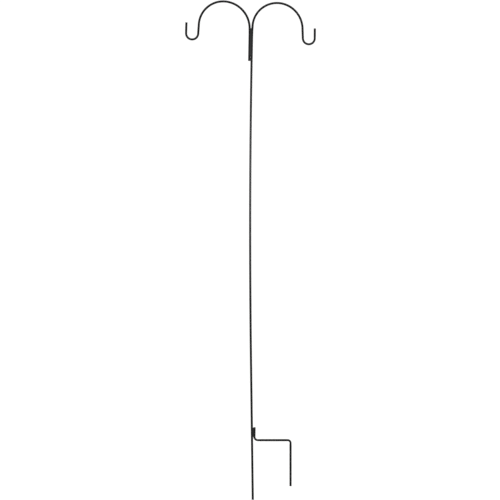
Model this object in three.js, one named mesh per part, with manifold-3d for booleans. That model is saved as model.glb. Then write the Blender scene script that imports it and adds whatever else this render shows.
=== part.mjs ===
// Double shepherd's hook: a welded steel pole with two hanging hooks and a step foot.
// Millimetres, +Z up. The part lies in the XZ plane with the step towards +X.
// The origin is on the pole's axis at the ground line, level with the step bar's underside.
import * as THREE from "three";
import { mergeVertices } from "three/addons/utils/BufferGeometryUtils.js";
import Module from "manifold-3d";

// Round bar
const barDiameter = 9.7; // 9.5 round with its coat
const barSides = 24;
const bendStep = 9; // degrees between sections in a bend, which divides 180 exactly
const lapSpacing = 10.1; // between the axes of the pole and the left arm where they are welded

// Main rod: pole, right-hand crook and hook
const poleFoot = { x: 3.25, z: -249.8 };
const poleLean = -0.744; // degrees from vertical at the foot, negative towards -X
const poleStraight = 579;
const poleBow = { radius: 43650, turn: 1.745 }; // the slight sweep of the whole pole
const poleTop = 62.6; // straight again where the left arm is welded on
const rightLean = { radius: 909.5, turn: 3.59 }; // eases off the left arm below the arch
const rightArch = [
  { radius: 104.3, turn: 106.4 },
  { radius: 112.1, turn: 67.0 },
];
const rightLeg = 44.2;
const rightHook = { radius: 25.4, turn: -177.6 };
const rightTip = 42.3;

// Left arm rod: lap, left-hand crook and hook
const leftLap = 103.9;
const leftLapEnd = 1626.2; // height of its cut lower end
const leftLean = { radius: 1055, turn: -2.02 };
const leftArch = [
  { radius: 115.6, turn: -78.1 },
  { radius: 103.8, turn: -96.9 },
];
const leftLeg = 42.0;
const leftHook = { radius: 25.9, turn: 177.8 };
const leftTip = 46.4;

// Step rod: lap, step bar and anchor prong
const stepTop = { x: 10.8, z: 60.4 };
const stepLean = 180.6; // it runs downwards, closing slightly on the pole
const stepLap = 40.7;
const stepUpperBend = { radius: 14.7, turn: -90.6 };
const stepBar = 128.0;
const prongBend = { radius: 11.7, turn: 90.0 };
const prongRun = 185.0;

// Weld metal
const weldGap = 0.3; // kept between weld metal and bar, because each is its own solid
const beadHalfWidth = 3.7;
const beadEnd = 3.0; // length of each rounded end
const armWeld = { low: 1647, high: 1766 };
const armTack = { low: 1626.8, high: 1637 };
const footWeld = { low: 18.5, high: 58 };

const steel = { roughness: 0.45, metalness: 0.0 };
const barFinish = new THREE.MeshStandardMaterial({ color: 0x1d1d1e, ...steel });
const weldFinish = new THREE.MeshStandardMaterial({ color: 0x252526, ...steel });

const wasm = await Module();
wasm.setup();

// A bar's centreline, made of straight runs and circular bends in the XZ plane.
// Headings are in degrees from +Z, positive towards +X.
class BentCentreline extends THREE.Curve {
  constructor(start, heading, moves) {
    super();
    this.stations = [];
    this.place = new THREE.Vector3(start.x, 0, start.z);
    this.heading = heading;
    this.addStation();
    for (const move of moves) {
      if (move.run) this.goStraight(move.run);
      else this.bend(move.radius, move.turn);
    }
  }

  addStation() {
    this.stations.push({ place: this.place.clone(), heading: this.heading });
  }

  direction(heading) {
    const angle = THREE.MathUtils.degToRad(heading);
    return new THREE.Vector3(Math.sin(angle), 0, Math.cos(angle));
  }

  goStraight(length) {
    this.place.addScaledVector(this.direction(this.heading), length);
    this.addStation();
  }

  // Sections stand at odd half steps of heading, so a hook's lowest facet is level.
  bend(radius, turn) {
    const first = this.heading;
    const last = first + turn;
    const side = Math.sign(turn);
    const centre = this.place
      .clone()
      .addScaledVector(this.direction(first + 90 * side), radius);
    const headings = [];
    for (let k = -40; k <= 80; k += 1) {
      const heading = (k + 0.5) * bendStep;
      const done = (heading - first) * side;
      if (done > 1.5 && done < turn * side - 1.5) headings.push(heading);
    }
    if (side < 0) headings.reverse();
    if (radius > 500) headings.push(...this.bowHeadings(first, turn));
    headings.push(last);
    for (const heading of headings) {
      this.heading = heading;
      this.place = centre
        .clone()
        .addScaledVector(this.direction(heading + 90 * side), -radius);
      this.addStation();
    }
  }

  bowHeadings(first, turn) {
    return [1, 2, 3, 4, 5].map((k) => first + (turn * k) / 6);
  }

  station(u) {
    return this.stations[Math.round(u * (this.stations.length - 1))];
  }

  getPointAt(u, target = new THREE.Vector3()) {
    return target.copy(this.station(u).place);
  }

  getTangentAt(u, target = new THREE.Vector3()) {
    return target.copy(this.direction(this.station(u).heading));
  }

  getPoint(u, target) {
    return this.getPointAt(u, target);
  }

  getTangent(u, target) {
    return this.getTangentAt(u, target);
  }
}

// The bar's section: flats face along Y and in the plane of the bends.
function barSection(diameter) {
  const corner = diameter / 2 / Math.cos(Math.PI / barSides);
  const section = new THREE.Shape();
  for (let k = 0; k < barSides; k += 1) {
    const angle = ((k + 0.5) * 2 * Math.PI) / barSides;
    const x = corner * Math.cos(angle);
    const y = corner * Math.sin(angle);
    if (k === 0) section.moveTo(x, y);
    else section.lineTo(x, y);
  }
  section.closePath();
  return section;
}

function barAlong(centreline, diameter) {
  return new THREE.ExtrudeGeometry(barSection(diameter), {
    steps: centreline.stations.length - 1,
    extrudePath: centreline,
  });
}

function solidFrom(geometry) {
  const bare = geometry.clone();
  bare.deleteAttribute("normal");
  bare.deleteAttribute("uv");
  const merged = mergeVertices(bare, 1e-4);
  return new wasm.Manifold(
    new wasm.Mesh({
      numProp: 3,
      vertProperties: Float32Array.from(merged.attributes.position.array),
      triVerts: Uint32Array.from(merged.index.array),
    }),
  );
}

function geometryFrom(solid) {
  const mesh = solid.getMesh();
  const geometry = new THREE.BufferGeometry();
  const places = new THREE.BufferAttribute(mesh.vertProperties, 3);
  geometry.setAttribute("position", places);
  geometry.setIndex(new THREE.BufferAttribute(mesh.triVerts, 1));
  const flat = geometry.toNonIndexed();
  flat.computeVertexNormals();
  return flat;
}

// Where a bar's axis passes a given height, between two of its stations.
function axisAt(centreline, z, from, to) {
  const low = centreline.stations[from].place;
  const high = centreline.stations[to].place;
  return new THREE.Vector3().lerpVectors(low, high, (z - low.z) / (high.z - low.z));
}

// A bead of weld metal lying in the groove between two bars. Its root follows the bars,
// and its face is a shallow curve standing a little proud of them.
function weldBead(firstBar, secondBar, low, high, side, depth) {
  const outline = new THREE.Shape();
  outline.absellipse(0, 0, beadHalfWidth, depth.half, 0, 2 * Math.PI);
  const geometry = new THREE.ExtrudeGeometry(outline, {
    depth: high.distanceTo(low) - 2 * beadEnd,
    bevelEnabled: true,
    bevelThickness: beadEnd,
    bevelSize: depth.half * 0.6,
    bevelOffset: -depth.half * 0.6,
    bevelSegments: 3,
    curveSegments: 6,
  });
  geometry.translate(0, 0, beadEnd);
  const along = high.clone().sub(low).normalize();
  const across = new THREE.Vector3(along.z, 0, -along.x);
  const outwards = new THREE.Vector3(0, 1, 0);
  const frame = new THREE.Matrix4().makeBasis(across, outwards, along);
  frame.setPosition(low.x, side * depth.centre, low.z);
  geometry.applyMatrix4(frame);
  return geometryFrom(
    solidFrom(geometry)
      .subtract(solidFrom(barAlong(firstBar, barDiameter + 2 * weldGap)))
      .subtract(solidFrom(barAlong(secondBar, barDiameter + 2 * weldGap))),
  );
}

const mainLine = new BentCentreline(poleFoot, poleLean, [
  { run: poleStraight },
  poleBow,
  { run: poleTop },
  rightLean,
  ...rightArch,
  { run: rightLeg },
  rightHook,
  { run: rightTip },
]);

// The pole's last stretch below the arch is the line the left arm is welded to.
const lapHeading = poleLean + poleBow.turn;
const lapFirst = 7;
const lapLast = 8;
const lapSide = mainLine.direction(lapHeading - 90).multiplyScalar(lapSpacing);
const leftStart = axisAt(mainLine, leftLapEnd, lapFirst, lapLast).add(lapSide);

const leftLine = new BentCentreline(leftStart, lapHeading, [
  { run: leftLap },
  leftLean,
  ...leftArch,
  { run: leftLeg },
  leftHook,
  { run: leftTip },
]);

const stepLine = new BentCentreline(stepTop, stepLean, [
  { run: stepLap },
  stepUpperBend,
  { run: stepBar },
  prongBend,
  { run: prongRun },
]);

const armDepth = { centre: 2.9, half: 2.1 };
const footDepth = { centre: 2.6, half: 2.4 };

function armGroove(z) {
  return axisAt(mainLine, z, lapFirst, lapLast).addScaledVector(lapSide, 0.5);
}

function footGroove(z) {
  const pole = axisAt(mainLine, z, 0, 1);
  return pole.lerp(axisAt(stepLine, z, 1, 0), 0.5);
}

const group = new THREE.Group();
group.name = "double_shepherds_hook";

function addNode(name, geometry, material) {
  const mesh = new THREE.Mesh(geometry, material.clone());
  mesh.name = name;
  group.add(mesh);
}

addNode("main_rod", barAlong(mainLine, barDiameter), barFinish);
addNode("left_arm", barAlong(leftLine, barDiameter), barFinish);
addNode("step_rod", barAlong(stepLine, barDiameter), barFinish);

for (const [face, side] of [["front", -1], ["back", 1]]) {
  const armBead = weldBead(
    mainLine, leftLine, armGroove(armWeld.low), armGroove(armWeld.high), side, armDepth,
  );
  const armTackBead = weldBead(
    mainLine, leftLine, armGroove(armTack.low), armGroove(armTack.high), side, armDepth,
  );
  const footBead = weldBead(
    mainLine, stepLine, footGroove(footWeld.low), footGroove(footWeld.high), side, footDepth,
  );
  addNode("arm_weld_" + face, armBead, weldFinish);
  addNode("arm_tack_" + face, armTackBead, weldFinish);
  addNode("step_weld_" + face, footBead, weldFinish);
}

export default group;
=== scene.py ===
import math
import random

import bpy
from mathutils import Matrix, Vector, noise


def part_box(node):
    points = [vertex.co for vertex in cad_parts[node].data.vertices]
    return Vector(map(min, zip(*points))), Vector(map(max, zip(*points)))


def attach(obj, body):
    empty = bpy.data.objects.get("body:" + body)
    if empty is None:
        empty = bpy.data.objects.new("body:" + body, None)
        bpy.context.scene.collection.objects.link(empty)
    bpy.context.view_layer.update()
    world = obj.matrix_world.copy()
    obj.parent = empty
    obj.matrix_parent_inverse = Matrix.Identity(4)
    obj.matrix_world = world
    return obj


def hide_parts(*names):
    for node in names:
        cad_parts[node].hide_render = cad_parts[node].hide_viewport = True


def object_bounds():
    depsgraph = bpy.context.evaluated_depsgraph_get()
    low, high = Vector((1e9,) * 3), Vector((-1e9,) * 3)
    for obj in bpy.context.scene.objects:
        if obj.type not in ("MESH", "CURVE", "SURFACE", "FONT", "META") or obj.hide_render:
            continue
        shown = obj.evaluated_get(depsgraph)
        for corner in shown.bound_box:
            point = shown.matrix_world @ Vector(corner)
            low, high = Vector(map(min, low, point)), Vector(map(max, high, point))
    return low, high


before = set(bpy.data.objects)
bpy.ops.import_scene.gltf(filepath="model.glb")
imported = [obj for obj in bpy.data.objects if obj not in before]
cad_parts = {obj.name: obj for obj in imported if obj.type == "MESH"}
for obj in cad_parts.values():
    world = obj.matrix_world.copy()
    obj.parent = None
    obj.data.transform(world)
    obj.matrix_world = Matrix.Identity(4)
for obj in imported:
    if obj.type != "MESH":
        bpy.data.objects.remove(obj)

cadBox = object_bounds()  # the frame's own size; its bottom sets the floor's height
mm = 0.001
print("frame loaded,", len(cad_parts), "nodes")


# An sRGB hex colour as the linear values Blender's sockets take.
def toLinear(hexColour):
    parts = [int(hexColour[k:k + 2], 16) / 255 for k in (1, 3, 5)]
    return [c / 12.92 if c <= 0.04045 else ((c + 0.055) / 1.055) ** 2.4 for c in parts] + [1.0]


def addNode(tree, kind, settings=None, values=None, links=None):
    node = tree.nodes.new(kind)
    for name, value in (settings or {}).items():
        setattr(node, name, value)
    for name, value in (values or {}).items():
        node.inputs[name].default_value = value
    for name, socket in (links or {}).items():
        tree.links.new(socket, node.inputs[name])
    return node


def emptyMaterial(name):
    material = bpy.data.materials.new(name)
    material.use_nodes = True
    material.node_tree.nodes.clear()
    return material, material.node_tree


# A smooth-shaded mesh from points in millimetres. thinFilm says, point by point,
# how far the coat has drawn back there as it melted.
def addPiece(name, points, faces, material, thinFilm=None):
    mesh = bpy.data.meshes.new(name)
    mesh.from_pydata([p * mm for p in points], [], faces)
    mesh.polygons.foreach_set("use_smooth", [True] * len(mesh.polygons))
    mesh.materials.append(material)
    if thinFilm:
        mesh.attributes.new("thinFilm", "FLOAT", "POINT").data.foreach_set("value", thinFilm)
    piece = bpy.data.objects.new(name, mesh)
    bpy.context.scene.collection.objects.link(piece)
    return piece


# Polyester powder coat, sprayed on dry as dust and baked until it melts and flows out.
# It gives a deep satin black with one soft broad highlight and a faint orange peel.
powderCoat = {
    "thinColour": "#141415",  # where the spray passed once
    "thickColour": "#1a1a1b",  # and where passes overlap
    "edgeColour": "#262626",  # where the melt drew back from an edge
    "ior": 1.5,
    "roughness": (0.33, 0.39),
    "edgeRoughness": 0.46,
    "passSize": 38.0,  # mm, the size of a spray pass's patches
    "passEdges": (0.3, 0.7),  # noise values where one pass ends and the overlap is full
    "peelSize": 2.2,  # mm, one cell of the orange peel
    "peelDepth": 0.03,  # mm
    "nibSpacing": 15.0,  # mm between nibs of dust baked into the film
    "nibRadius": 0.45,  # mm
    "nibHeight": 0.03,  # mm
}


def satinPowderCoat(name, coat):
    material, tree = emptyMaterial(name)
    place = addNode(tree, "ShaderNodeTexCoord").outputs["Object"]
    film = addNode(  # long soft patches of thicker and thinner film
        tree, "ShaderNodeTexNoise", {},
        {"Scale": 1 / (coat["passSize"] * mm), "Detail": 3.0, "Roughness": 0.55},
        {"Vector": place},
    ).outputs["Fac"]
    passColour = addNode(
        tree, "ShaderNodeMix", {"data_type": "RGBA"},
        {6: toLinear(coat["thinColour"]), 7: toLinear(coat["thickColour"])}, {0: film},
    ).outputs[2]
    passRoughness = addNode(
        tree, "ShaderNodeMapRange", {},
        {"From Min": coat["passEdges"][0], "From Max": coat["passEdges"][1],
         "To Min": coat["roughness"][0], "To Max": coat["roughness"][1]},
        {"Value": film},
    ).outputs["Result"]
    drawnBack = addNode(tree, "ShaderNodeAttribute", {"attribute_name": "thinFilm"}).outputs["Fac"]
    colour = addNode(
        tree, "ShaderNodeMix", {"data_type": "RGBA"}, {7: toLinear(coat["edgeColour"])},
        {0: drawnBack, 6: passColour},
    ).outputs[2]
    roughness = addNode(
        tree, "ShaderNodeMix", {"data_type": "FLOAT"},
        {3: coat["edgeRoughness"]}, {0: drawnBack, 2: passRoughness},
    ).outputs[0]
    peel = addNode(  # the skin of the film, pulled into shallow cells
        tree, "ShaderNodeTexNoise", {},
        {"Scale": 1 / (coat["peelSize"] * mm), "Detail": 1.5, "Roughness": 0.5},
        {"Vector": place},
    ).outputs["Fac"]
    nibs = addNode(
        tree, "ShaderNodeTexVoronoi", {"feature": "F1"},
        {"Scale": 1 / (coat["nibSpacing"] * mm), "Randomness": 1.0}, {"Vector": place},
    ).outputs["Distance"]
    nibHeight = addNode(
        tree, "ShaderNodeMapRange", {"interpolation_type": "SMOOTHSTEP"},
        {"From Min": 0.0, "From Max": coat["nibRadius"] / coat["nibSpacing"],
         "To Min": coat["nibHeight"] / coat["peelDepth"], "To Max": 0.0},
        {"Value": nibs},
    ).outputs["Result"]
    skin = addNode(
        tree, "ShaderNodeMath", {"operation": "ADD"}, {}, {0: peel, 1: nibHeight},
    ).outputs[0]
    bump = addNode(
        tree, "ShaderNodeBump", {},
        {"Strength": 1.0, "Distance": coat["peelDepth"] * mm}, {"Height": skin},
    ).outputs["Normal"]
    shader = addNode(
        tree, "ShaderNodeBsdfPrincipled", {}, {"IOR": coat["ior"], "Metallic": 0.0},
        {"Base Color": colour, "Roughness": roughness, "Normal": bump},
    )
    addNode(tree, "ShaderNodeOutputMaterial", {}, {}, {"Surface": shader.outputs[0]})
    return material


barCoat = satinPowderCoat("satinBlackPowderCoatOnDrawnBar", powderCoat)
# On rippled weld metal the film is uneven, so it looks a touch duller. Its lighter grey is painted
# highlight, for the light the bead's face catches.
weldCoatWithPaintedHighlight = {
    **powderCoat,
    # painted highlight: these greys lighten the bead to stand in for the light on its face
    "thinColour": "#2f2f30",
    "thickColour": "#3a3a3b",
    "edgeColour": "#404040",
    "roughness": (0.43, 0.49),
    "edgeRoughness": 0.56,
    "peelDepth": 0.054,  # mm
    "nibHeight": 0.054,  # mm
}
weldCoat = satinPowderCoat("powderCoatOnMigWeldWithPaintedHighlight", weldCoatWithPaintedHighlight)
print("powder coats made")


# Cold-drawn round bar, bent cold round pins, so it flattens a little in tight bends.
bar = {
    "diameter": 9.7,  # mm, over the coat
    "sides": 40,
    "straightStep": 12.0,  # mm between sections on straight runs
    "bendStep": 2.0,  # mm between sections in a bend
    "flatten": 0.22,  # thickness lost across a bend, as a share of bar radius over bend radius
    "spread": 0.10,  # and gained sideways
    "bendEase": 5.0,  # mm over which the flattening comes and goes
    "edgeRound": 0.7,  # mm, the sheared edge as the film rounds it
    "rollOver": 0.7,  # how much more the edge rolls over where the blade enters
    "endTilt": 0.9,  # degrees off square, from the shear's blade
    "tornDepth": 0.09,  # mm, unevenness of the torn face
    "tornFilm": 0.25,  # how far the film has drawn back on it, from 0 to 1
    "tightBend": 500.0,  # mm, the bend radius below which sections stand close together
}


# Headings and turns are in degrees from +Z towards +X.
def direction(heading):
    return Vector((math.sin(math.radians(heading)), 0, math.cos(math.radians(heading))))


# Walks straight runs and bends in the part's plane, leaving a section at every step.
def centreLine(heading, moves):
    place, along = Vector((0, 0, 0)), 0.0
    line = [{"place": place, "heading": heading, "along": along, "bend": 0.0}]
    for kind, *sizes in moves:
        if kind == "run":
            length, turn, bend, gap = sizes[0], 0.0, 0.0, bar["straightStep"]
        else:
            radius, turn = sizes
            length, bend = radius * math.radians(abs(turn)), 1 / radius
            gap = bar["bendStep"] if radius < bar["tightBend"] else bar["straightStep"]
        steps = max(1, round(length / gap))
        half = turn / steps / 2
        chord = length / steps
        if half:
            chord *= math.sin(math.radians(half)) / math.radians(half)
        for _ in range(steps):
            place = place + direction(heading + half) * chord
            heading, along = heading + 2 * half, along + length / steps
            line.append({"place": place, "heading": heading, "along": along, "bend": bend})
    return line


# How sharply the bar is bent near a section, eased in over a few millimetres.
def sharpnessAt(line, along):
    total, weight = 0.0, 0.0
    for other in line:
        near = 1 - abs(other["along"] - along) / bar["bendEase"]
        if near > 0:
            total += other["bend"] * near
            weight += near
    return total / weight


def sectionRing(section, across, sideways):
    normal = direction(section["heading"] + 90)
    turns = [2 * math.pi * k / bar["sides"] for k in range(bar["sides"])]
    return [
        section["place"] + normal * (across * math.cos(a)) + Vector((0, sideways * math.sin(a), 0))
        for a in turns
    ]


# Rings from the flank over the rounded edge to the middle of the cut face. The blade
# rolls the edge over where it enters and tears the metal where it leaves.
def shearedEnd(section, outwards, seed):
    radius, edge = bar["diameter"] / 2, bar["edgeRound"]
    along = direction(section["heading"]) * outwards
    normal = direction(section["heading"] + 90)
    tilt = math.tan(math.radians(bar["endTilt"]))
    steps = [("edge", math.radians(lean)) for lean in (0, 22, 45, 67, 90)]
    steps += [("face", share) for share in (0.8, 0.5, 0.2, 0.0)]
    rings, film = [], []
    for kind, value in steps:
        ring = []
        for k in range(bar["sides"]):
            a = 2 * math.pi * k / bar["sides"]
            rollOver = edge * (1 + bar["rollOver"] * max(0.0, outwards * math.cos(a)))
            if kind == "edge":
                r = radius - rollOver * (1 - math.cos(value))
                back = rollOver * (1 - math.sin(value))
                drawnBack = math.sin(2 * value)
            else:
                r = (radius - rollOver) * value
                torn = noise.noise(Vector((r * math.cos(a), r * math.sin(a), seed)))
                back = bar["tornDepth"] * (1 + torn) * min(1.0, (1 - value) * 3)
                drawnBack = bar["tornFilm"]
            back += tilt * (radius + outwards * r * math.cos(a))
            sideways = Vector((0, r * math.sin(a), 0))
            ring.append(section["place"] - along * back + normal * (r * math.cos(a)) + sideways)
            film.append(drawnBack)
            if kind == "face" and value == 0:
                break
        rings.append(ring)
    return rings, film


def sweepBar(name, node, heading, moves, seed):
    line = centreLine(heading, moves)
    sides, radius = bar["sides"], bar["diameter"] / 2
    tiltRoom = bar["diameter"] * math.tan(math.radians(bar["endTilt"]))
    edgeRoom = bar["edgeRound"] * (1 + bar["rollOver"]) + tiltRoom
    low, lowFilm = shearedEnd(line[0], -1, seed)
    high, highFilm = shearedEnd(line[-1], 1, seed + 5)
    body = []
    for k, section in enumerate(line):
        sharp = sharpnessAt(line, section["along"]) * radius
        nudge = {0: edgeRoom, len(line) - 1: -edgeRoom}.get(k, 0.0)  # room for the edges
        moved = {**section, "place": section["place"] + direction(section["heading"]) * nudge}
        across = radius * (1 - bar["flatten"] * sharp)
        sideways = radius * (1 + bar["spread"] * sharp)
        body.append(sectionRing(moved, across, sideways))
    rings = low[-2::-1] + body + high[:-1]
    points = [p for ring in rings for p in ring] + low[-1] + high[-1]
    ringFilm = [lowFilm[k * sides:(k + 1) * sides] for k in range(len(low) - 1)]
    thinFilm = [v for film in ringFilm[::-1] for v in film] + [0.0] * (sides * len(body))
    thinFilm += highFilm[:-1] + [lowFilm[-1], highFilm[-1]]
    faces = []
    for k in range(len(rings) - 1):
        for j in range(sides):
            i = (j + 1) % sides
            faces.append((k * sides + j, k * sides + i, (k + 1) * sides + i, (k + 1) * sides + j))
    last = (len(rings) - 1) * sides
    for j in range(sides):
        i = (j + 1) % sides
        faces.append((i, j, len(points) - 2))
        faces.append((last + j, last + i, len(points) - 1))
    # The box of the bar goes onto the box of its node.
    nodeLow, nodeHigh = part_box(node)
    shift = Vector()
    for k in range(3):
        nodeMiddle = (nodeLow[k] + nodeHigh[k]) / 2 / mm
        barMiddle = (min(p[k] for p in points) + max(p[k] for p in points)) / 2
        shift[k] = nodeMiddle - barMiddle
    piece = addPiece(name, [p + shift for p in points], faces, barCoat, thinFilm)
    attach(piece, "root")
    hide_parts(node)
    print(name, "made,", len(points), "points")
    return [section["place"] + shift for section in line]


# One length of bar is the pole and the right-hand crook. Sizes in mm and degrees.
mainRod = {
    "heading": -0.744,
    "moves": [
        ("run", 579.0), ("bend", 43650.0, 1.745), ("run", 62.6),  # the pole, very slightly bowed
        ("bend", 909.5, 3.59),  # easing off the left arm
        ("bend", 104.3, 106.4), ("bend", 112.1, 67.0), ("run", 44.2),  # the arch
        ("bend", 25.4, -177.6), ("run", 42.3),  # the hook
    ],
}
mainLine = sweepBar("mainRodBar", "main_rod", mainRod["heading"], mainRod["moves"], 3)

# A second length lies along the pole's left side and is bent into the left-hand crook.
leftArm = {
    "heading": 1.001,
    "moves": [
        ("run", 103.9), ("bend", 1055.0, -2.02),
        ("bend", 115.6, -78.1), ("bend", 103.8, -96.9), ("run", 42.0),
        ("bend", 25.9, 177.8), ("run", 46.4),
    ],
}
leftLine = sweepBar("leftArmBar", "left_arm", leftArm["heading"], leftArm["moves"], 11)

# The third runs down the pole's right side, out as the foot step and down as the prong.
stepRod = {
    "heading": 180.6,
    "moves": [
        ("run", 40.7), ("bend", 14.7, -90.6), ("run", 128.0),
        ("bend", 11.7, 90.0), ("run", 185.0),
    ],
}
stepLine = sweepBar("stepRodBar", "step_rod", stepRod["heading"], stepRod["moves"], 23)


# MIG weld in the groove between two bars: a chain of frozen ripples, each lapping the last.
weld = {
    "step": 0.35,  # mm between sections along a bead
    "across": 20,  # strips over its face
    "halfWidth": 3.7,  # mm
    "crown": 0.45,  # mm, how far the face stands over its toes
    "ripplePitch": 2.1,  # mm
    "rippleHeight": 0.22,  # mm
    "rippleTrail": 1.6,  # mm, how far a ripple's edges trail its middle
    "endLength": 3.2,  # mm, the rounded start and stop
    "endWidth": 0.12,  # the tip's width as a share of the full width
    "startBlob": 0.35,  # mm of extra height where the arc was struck
    "startSpread": 2.2,  # mm
    "crater": 0.45,  # mm of dip where it was broken
    "craterSpread": 1.7,  # mm
    "endInset": 3.0,  # mm from either end to the middle of the blob or crater
    "wander": 0.22,  # mm, the hand's sway sideways
    "wanderLength": 9.0,  # mm
    "swell": 0.07,  # and how much the width comes and goes, as a share of it
    "swellLength": 5.0,  # mm
    "rippleSpread": (0.8, 1.22),  # how uneven the ripples' spacing is
    "rippleSizes": (0.7, 1.15),  # and their height
    "toeDepth": 0.12,  # mm, how far the toes run in under the bar's surface
    "toeSlope": 2.6,  # how quickly the face rises from its toes
    "rootDepth": 0.7,  # mm, how far the root is melted into the bars
    "rootWidth": 0.92,  # the root's width as a share of the face's
    "lipFilm": 0.75,  # the ripple height, from 0 to 1, above which the film draws back
}


# Where a bar's axis passes a height, on the stretch that is nearest the pole.
def axisAt(line, z):
    spans = [(a, b) for a, b in zip(line, line[1:]) if min(a.z, b.z) <= z <= max(a.z, b.z)]
    a, b = min(spans, key=lambda span: abs(span[0].x))
    return a.lerp(b, (z - a.z) / (b.z - a.z))


# How far the nearer bar's surface stands out of the part's plane.
def barSurface(x, leftX, rightX):
    off = min(abs(x - leftX), abs(x - rightX))
    return math.sqrt(max(0.0, (bar["diameter"] / 2) ** 2 - off ** 2))


def frozenRipples(length, rand):
    starts, along = [], -weld["ripplePitch"]
    while along < length + 2 * weld["ripplePitch"]:
        starts.append((along, rand.uniform(*weld["rippleSizes"])))
        along += weld["ripplePitch"] * rand.uniform(*weld["rippleSpread"])
    return starts


# Each ripple rises gently and ends in a steep little lip.
def rippleAt(ripples, along):
    for (start, size), (stop, _) in zip(ripples, ripples[1:]):
        if start <= along < stop:
            phase = (along - start) / (stop - start)
            return size * math.sin(math.pi * phase ** 1.7) ** 0.8
    return 0.0


# side is -1 for the front and 1 for the back. innerDepth is how near the root comes to the
# part's own plane, and tails how far a thin tongue of metal runs on below and above, in mm.
def weldBead(name, node, firstLine, secondLine, side, innerDepth, tails, seed):
    rand = random.Random(seed)
    low, high = (corner.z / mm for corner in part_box(node))
    length = high - low
    fullLength = tails[0] + length + tails[1]
    steps = round(fullLength / weld["step"])
    ripples = frozenRipples(length, rand)
    strips = weld["across"]
    points, thinFilm = [], []
    for k in range(steps + 1):
        z = low - tails[0] + fullLength * k / steps
        along = z - low if side < 0 else high - z  # welded upwards in front, downwards behind
        leftX, rightX = sorted((axisAt(firstLine, z).x, axisAt(secondLine, z).x))
        wander = noise.noise(Vector((along / weld["wanderLength"], seed, 0)))
        middle = (leftX + rightX) / 2 + weld["wander"] * wander
        inset = min(1.0, max(0.0, min(along, length - along)) / weld["endLength"])
        taper = math.sqrt(1 - (1 - inset) ** 2)
        swelling = 1 + weld["swell"] * noise.noise(Vector((along / weld["swellLength"], seed, 4)))
        tip = weld["endWidth"]
        width = weld["halfWidth"] * (tip + (1 - tip) * taper) * swelling
        toes = [barSurface(middle + way * width, leftX, rightX) for way in (-1, 1)]
        toeLevel = sum(toes) / 2
        fromStart = (along - weld["endInset"]) / weld["startSpread"]
        fromStop = (length - along - weld["endInset"]) / weld["craterSpread"]
        blob = weld["startBlob"] * math.exp(-(fromStart ** 2))
        dip = weld["crater"] * math.exp(-(fromStop ** 2))
        for j in range(strips + 1):  # the face, from toe to toe
            t = 2 * j / strips - 1
            x = middle + t * width
            ripple = rippleAt(ripples, along - weld["rippleTrail"] * t * t)
            height = weld["crown"] + weld["rippleHeight"] * ripple + blob - dip * (1 - t * t)
            wetted = min(1.0, (1 - t * t) * weld["toeSlope"])  # 0 where it meets the bar
            face = toeLevel + height * taper * (1 - t * t) ** 0.7
            toe = barSurface(x, leftX, rightX) - weld["toeDepth"]
            points.append(Vector((x, side * (face * wetted + toe * (1 - wetted)), z)))
            thinFilm.append(max(0.0, ripple - weld["lipFilm"]) * 2 * (1 - t * t))
        for j in range(strips + 1):  # and back along the root
            x = middle + (1 - 2 * j / strips) * width * weld["rootWidth"]
            depth = max(innerDepth, barSurface(x, leftX, rightX) - weld["rootDepth"])
            points.append(Vector((x, side * depth, z)))
            thinFilm.append(0.0)
    rowSize = 2 * (strips + 1)
    faces = []
    for row in range(0, steps * rowSize, rowSize):
        for j in range(rowSize):
            i = (j + 1) % rowSize
            faces.append((row + j, row + i, row + rowSize + i, row + rowSize + j))
    for row, turned in ((0, True), (steps, False)):
        ends = list(range(row * rowSize, (row + 1) * rowSize))
        points.append(sum((points[e] for e in ends), Vector()) / rowSize)
        thinFilm.append(0.0)
        for a, b in zip(ends, ends[1:] + ends[:1]):
            faces.append((b, a, len(points) - 1) if turned else (a, b, len(points) - 1))
    if side > 0:
        faces = [face[::-1] for face in faces]
    piece = addPiece(name, points, faces, weldCoat, thinFilm)
    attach(piece, "root")
    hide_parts(node)
    print(name, "made,", len(points), "points")


weldBead("armWeldFrontBead", "arm_weld_front", mainLine, leftLine, -1, 0.9, (2.6, 0), 31)
weldBead("armWeldBackBead", "arm_weld_back", mainLine, leftLine, 1, 0.9, (2.2, 0), 38)
weldBead("armTackFrontBead", "arm_tack_front", mainLine, leftLine, -1, 0.9, (0, 2.4), 41)
weldBead("armTackBackBead", "arm_tack_back", mainLine, leftLine, 1, 0.9, (0, 2.0), 44)
weldBead("stepWeldFrontBead", "step_weld_front", mainLine, stepLine, -1, 0.1, (0, 0), 47)
weldBead("stepWeldBackBead", "step_weld_back", mainLine, stepLine, 1, 0.1, (0, 0), 54)


# A white studio: opal floor, white backdrop, dim even room light and two soft boxes.
studio = {
    "floorColours": ("#f4f4f3", "#f7f7f6"),
    "floorGlow": 0.45,  # the opal sheet is lit a little from below
    "floorRadius": 70.0,  # m
    "floorSides": 96,
    "cloudingSize": 0.4,  # m, the sheet's faint clouds of tone
    "backdrop": 1.06,  # what stands behind the part, paper white
    "roomLow": 0.28,  # the room's level light on the part
    "roomHigh": 1.0,  # and from its white ceiling
    "ceilingFades": (0.25, 0.95),  # from level to straight up, where one becomes the other
}

# Place, aim and size in m, power in W, spread in degrees of the honeycomb grid.
softBoxes = {
    "frontSoftBox": {
        "place": (0.0, -2.5, 1.18), "aim": (0.0, 0.0, 1.1), "size": (0.5, 0.5),
        "power": 1.05, "spread": 30.0,
    },
    "rearSoftBox": {
        "place": (1.6, 2.6, 1.5), "aim": (0.0, 0.0, 1.0), "size": (0.6, 1.0),
        "power": 5.0, "spread": 120.0,
    },
}

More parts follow.
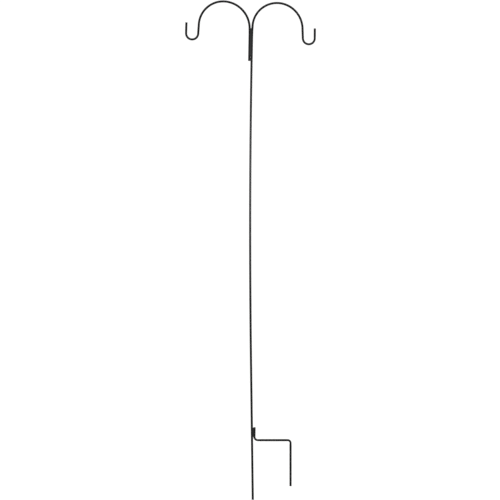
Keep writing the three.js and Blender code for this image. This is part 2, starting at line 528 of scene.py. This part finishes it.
# Opal acrylic sheet with a matt face: plain, pale and without gloss.
opalAcrylic, tree = emptyMaterial("mattOpalAcrylicFloor")
clouding = addNode(
    tree, "ShaderNodeTexNoise", {}, {"Scale": 1 / studio["cloudingSize"], "Detail": 2.0},
    {"Vector": addNode(tree, "ShaderNodeTexCoord").outputs["Object"]},
).outputs["Fac"]
tone = addNode(
    tree, "ShaderNodeMix", {"data_type": "RGBA"},
    {6: toLinear(studio["floorColours"][0]), 7: toLinear(studio["floorColours"][1])},
    {0: clouding},
).outputs[2]
sheet = addNode(
    tree, "ShaderNodeBsdfPrincipled", {},
    {"Roughness": 0.9, "Specular IOR Level": 0.1, "Emission Strength": studio["floorGlow"]},
    {"Base Color": tone, "Emission Color": tone},
)
addNode(tree, "ShaderNodeOutputMaterial", {}, {}, {"Surface": sheet.outputs[0]})

sides = studio["floorSides"]
ground = Vector((0, 0, cadBox[0].z / mm))
rim = [direction(360 * k / sides).xzy * studio["floorRadius"] / mm + ground for k in range(sides)]
floor = addPiece("paleFloor", rim[::-1], [tuple(range(sides))], opalAcrylic)
floor.visible_glossy = False  # so the black coat doesn't turn grey from the floor's glow
floor.visible_diffuse = False

world = bpy.data.worlds.new("whiteStudio")
bpy.context.scene.world = world
world.use_nodes = True
sky = world.node_tree
sky.nodes.clear()
upwards = addNode(
    sky, "ShaderNodeSeparateXYZ", {}, {},
    {"Vector": addNode(sky, "ShaderNodeTexCoord").outputs["Generated"]},
).outputs["Z"]
room = addNode(
    sky, "ShaderNodeMapRange", {"interpolation_type": "SMOOTHSTEP"},
    {"From Min": studio["ceilingFades"][0], "From Max": studio["ceilingFades"][1],
     "To Min": studio["roomLow"], "To Max": studio["roomHigh"]},
    {"Value": upwards},
).outputs["Result"]
seen = addNode(sky, "ShaderNodeLightPath").outputs["Is Camera Ray"]
brightness = addNode(
    sky, "ShaderNodeMix", {"data_type": "FLOAT"}, {3: studio["backdrop"]}, {0: seen, 2: room},
).outputs[0]
glow = addNode(sky, "ShaderNodeBackground", {}, {"Color": (1, 1, 1, 1)}, {"Strength": brightness})
addNode(sky, "ShaderNodeOutputWorld", {}, {}, {"Surface": glow.outputs[0]})


for name, box in softBoxes.items():
    data = bpy.data.lights.new(name, "AREA")
    data.shape = "RECTANGLE"
    data.size, data.size_y = box["size"]
    data.energy = box["power"]
    data.spread = math.radians(box["spread"])
    lamp = bpy.data.objects.new(name, data)
    bpy.context.scene.collection.objects.link(lamp)
    lamp.location = box["place"]
    aim = Vector(box["aim"]) - lamp.location
    lamp.rotation_euler = aim.to_track_quat("-Z", "Y").to_euler()
    lamp.visible_camera = False

# A long lens from well back, level and square to the part.
view = {
    "lens": 135.0,  # mm
    "sensorWidth": 36.0,  # mm
    "spanSeen": 2.1375,  # m of the part's plane from edge to edge of the view
    "lookAt": (-0.0086, 0.8178),  # m, x and z
    "clipEnd": 200.0,  # m
}
camera = bpy.data.objects.new("camera", bpy.data.cameras.new("camera"))
bpy.context.scene.collection.objects.link(camera)
camera.data.sensor_width = view["sensorWidth"]
camera.data.lens = view["lens"]
camera.data.clip_end = view["clipEnd"]
distance = view["spanSeen"] * view["lens"] / view["sensorWidth"]
camera.location = (view["lookAt"][0], -distance, view["lookAt"][1])
camera.rotation_euler = (math.radians(90), 0, 0)
bpy.context.scene.camera = camera
bpy.context.scene.view_settings.view_transform = "Standard"
print("studio set")
